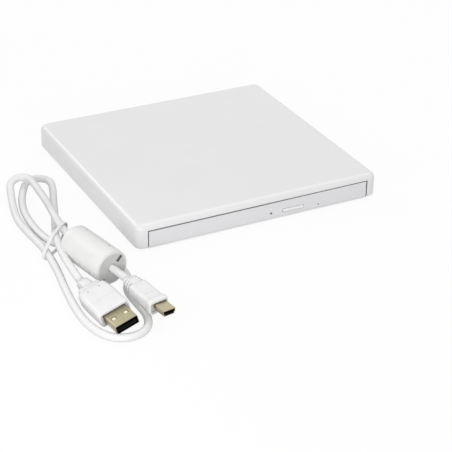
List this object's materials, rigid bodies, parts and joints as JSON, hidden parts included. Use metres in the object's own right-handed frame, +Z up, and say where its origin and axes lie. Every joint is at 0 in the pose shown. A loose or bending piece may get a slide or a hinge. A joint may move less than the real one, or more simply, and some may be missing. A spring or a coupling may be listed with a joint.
{
  "type": "external optical disc drive",
  "caption": "Slim external disc drive with a tray that slides out of the front, eject button, status light and a detachable USB lead with a ferrite bead, tied in a bundle.",
  "frame": {"origin": "centre of the housing on the surface that its feet stand on", "axes": "+Z up, +X to the right seen from the front, the tray opens towards -Y"},
  "size_m": [0.1952, 0.2127, 0.0182],
  "materials": {
    "shell_plastic": "fine satin white",
    "bezel_plastic": "fine satin white",
    "foot_rubber": "matte grey",
    "steel_sheet": "zinc plated",
    "screw_steel": "plated",
    "guide_plastic": "matte",
    "rail_steel": "bright",
    "board_green": "solder resist",
    "chip_black": "matte",
    "connector_plastic": "matte",
    "plug_metal": "plated",
    "contact_plastic": "matte",
    "flex_film": "film",
    "cord_plastic": "smooth white",
    "tie_plastic": "white",
    "tray_plastic": "fine matte black",
    "light_clear": "clear",
    "led_clear": "clear",
    "traverse_steel": "brushed",
    "damper_rubber": "matte",
    "core_copper": "wound copper",
    "rod_steel": "ground",
    "motor_steel": "plated",
    "rotor_steel": "turned",
    "table_plastic": "matte",
    "mat_rubber": "matte",
    "pawl_plastic": "smooth",
    "pickup_cast": "die cast",
    "pickup_lid": "stamped",
    "lens_black": "matte",
    "lens_glass": "coated",
    "button_plastic": "fine satin white",
    "hook_plastic": "smooth",
    "coil_dark": "wound"
  },
  "bodies": {
    "housing": {"top_cover": "shell_plastic", "bottom_cover": "shell_plastic", "foot_1": "foot_rubber", "foot_2": "foot_rubber", "foot_3": "foot_rubber", "foot_4": "foot_rubber", "cover_screws": "screw_steel", "lower_case": "steel_sheet", "upper_case": "steel_sheet", "guide_left": "guide_plastic", "guide_right": "guide_plastic", "rear_board": "board_green", "bridge_board": "board_green", "drive_connector": "connector_plastic", "usb_socket": "plug_metal", "usb_socket_tongue": "connector_plastic", "flex_cable": "flex_film", "usb_cable": "cord_plastic", "ferrite_bead": "cord_plastic", "cable_tie": "tie_plastic", "usb_a_overmould": "cord_plastic", "usb_a_shell": "plug_metal", "usb_a_insert": "contact_plastic", "mini_b_overmould": "cord_plastic", "mini_b_shell": "plug_metal", "mini_b_insert": "contact_plastic"},
    "tray_unit": {"tray": "tray_plastic", "tray_shield": "steel_sheet", "bezel": "bezel_plastic", "light_pipe": "light_clear", "front_board": "board_green", "eject_switch": "connector_plastic", "status_led": "led_clear", "tray_board": "board_green", "board_chips": "chip_black", "traverse": "traverse_steel", "damper_bushes": "damper_rubber", "traverse_screws": "screw_steel", "stator_base": "traverse_steel", "stator_core": "core_copper", "guide_rods": "rod_steel", "screw_bracket": "traverse_steel", "sled_motor": "motor_steel", "latch_solenoid": "coil_dark"},
    "rail_left": {"rail_left": "rail_steel"},
    "rail_right": {"rail_right": "rail_steel"},
    "spindle": {"rotor_cup": "rotor_steel", "turntable": "table_plastic", "disc_mat": "mat_rubber", "centring_hub": "table_plastic"},
    "pawl_1": {"pawl_1": "pawl_plastic"},
    "pawl_2": {"pawl_2": "pawl_plastic"},
    "pawl_3": {"pawl_3": "pawl_plastic"},
    "sled": {"pickup": "pickup_cast", "pickup_cover": "pickup_lid"},
    "focus": {"lens_holder": "lens_black", "lens": "lens_glass"},
    "lead_screw": {"lead_screw": "rod_steel"},
    "eject_button": {"eject_button": "button_plastic"},
    "latch": {"latch_hook": "hook_plastic"}
  },
  "joints": [
    {"name": "tray_slide", "type": "slide", "parent": "housing", "child": "tray_unit", "axis": [0, -1, 0], "range_m": [0, 0.125], "deforming": ["flex_cable"]},
    {"name": "rail_left_slide", "type": "slide", "parent": "housing", "child": "rail_left", "axis": [0, -1, 0], "range_m": [0, 0.0625]},
    {"name": "rail_right_slide", "type": "slide", "parent": "housing", "child": "rail_right", "axis": [0, -1, 0], "range_m": [0, 0.0625]},
    {"name": "spindle_spin", "type": "hinge", "parent": "tray_unit", "child": "spindle", "pos_m": [0, -0.001, 0.008], "axis": [0, 0, 1], "continuous": true},
    {"name": "pawl_1_slide", "type": "slide", "parent": "spindle", "child": "pawl_1", "axis": [-1, 0, 0], "range_m": [0, 0.0005], "stiffness_N_per_m": 400},
    {"name": "pawl_2_slide", "type": "slide", "parent": "spindle", "child": "pawl_2", "axis": [0.5, -0.866, 0], "range_m": [0, 0.0005], "stiffness_N_per_m": 400},
    {"name": "pawl_3_slide", "type": "slide", "parent": "spindle", "child": "pawl_3", "axis": [0.5, 0.866, 0], "range_m": [0, 0.0005], "stiffness_N_per_m": 400},
    {"name": "sled_slide", "type": "slide", "parent": "tray_unit", "child": "sled", "axis": [0, -1, 0], "range_m": [0, 0.033]},
    {"name": "lead_screw_spin", "type": "hinge", "parent": "tray_unit", "child": "lead_screw", "pos_m": [0.024, -0.03, 0.0054], "axis": [0, 1, 0], "continuous": true},
    {"name": "focus_slide", "type": "slide", "parent": "sled", "child": "focus", "axis": [0, 0, 1], "range_m": [-0.0004, 0.0004], "stiffness_N_per_m": 60},
    {"name": "eject_press", "type": "slide", "parent": "tray_unit", "child": "eject_button", "axis": [0, 1, 0], "range_m": [0, 0.0006], "stiffness_N_per_m": 1200},
    {"name": "latch_swing", "type": "hinge", "parent": "tray_unit", "child": "latch", "pos_m": [0.0465, -0.044, 0.0048], "axis": [0, 0, 1], "range_deg": [0, 16], "stiffness_Nm_per_rad": 0.002}
  ],
  "couplings": [
    {"joint": "rail_left_slide", "follows": "tray_slide", "ratio": 0.5},
    {"joint": "rail_right_slide", "follows": "tray_slide", "ratio": 0.5},
    {"joint": "lead_screw_spin", "follows": "sled_slide", "rad_per_m": 2094.4}
  ]
}
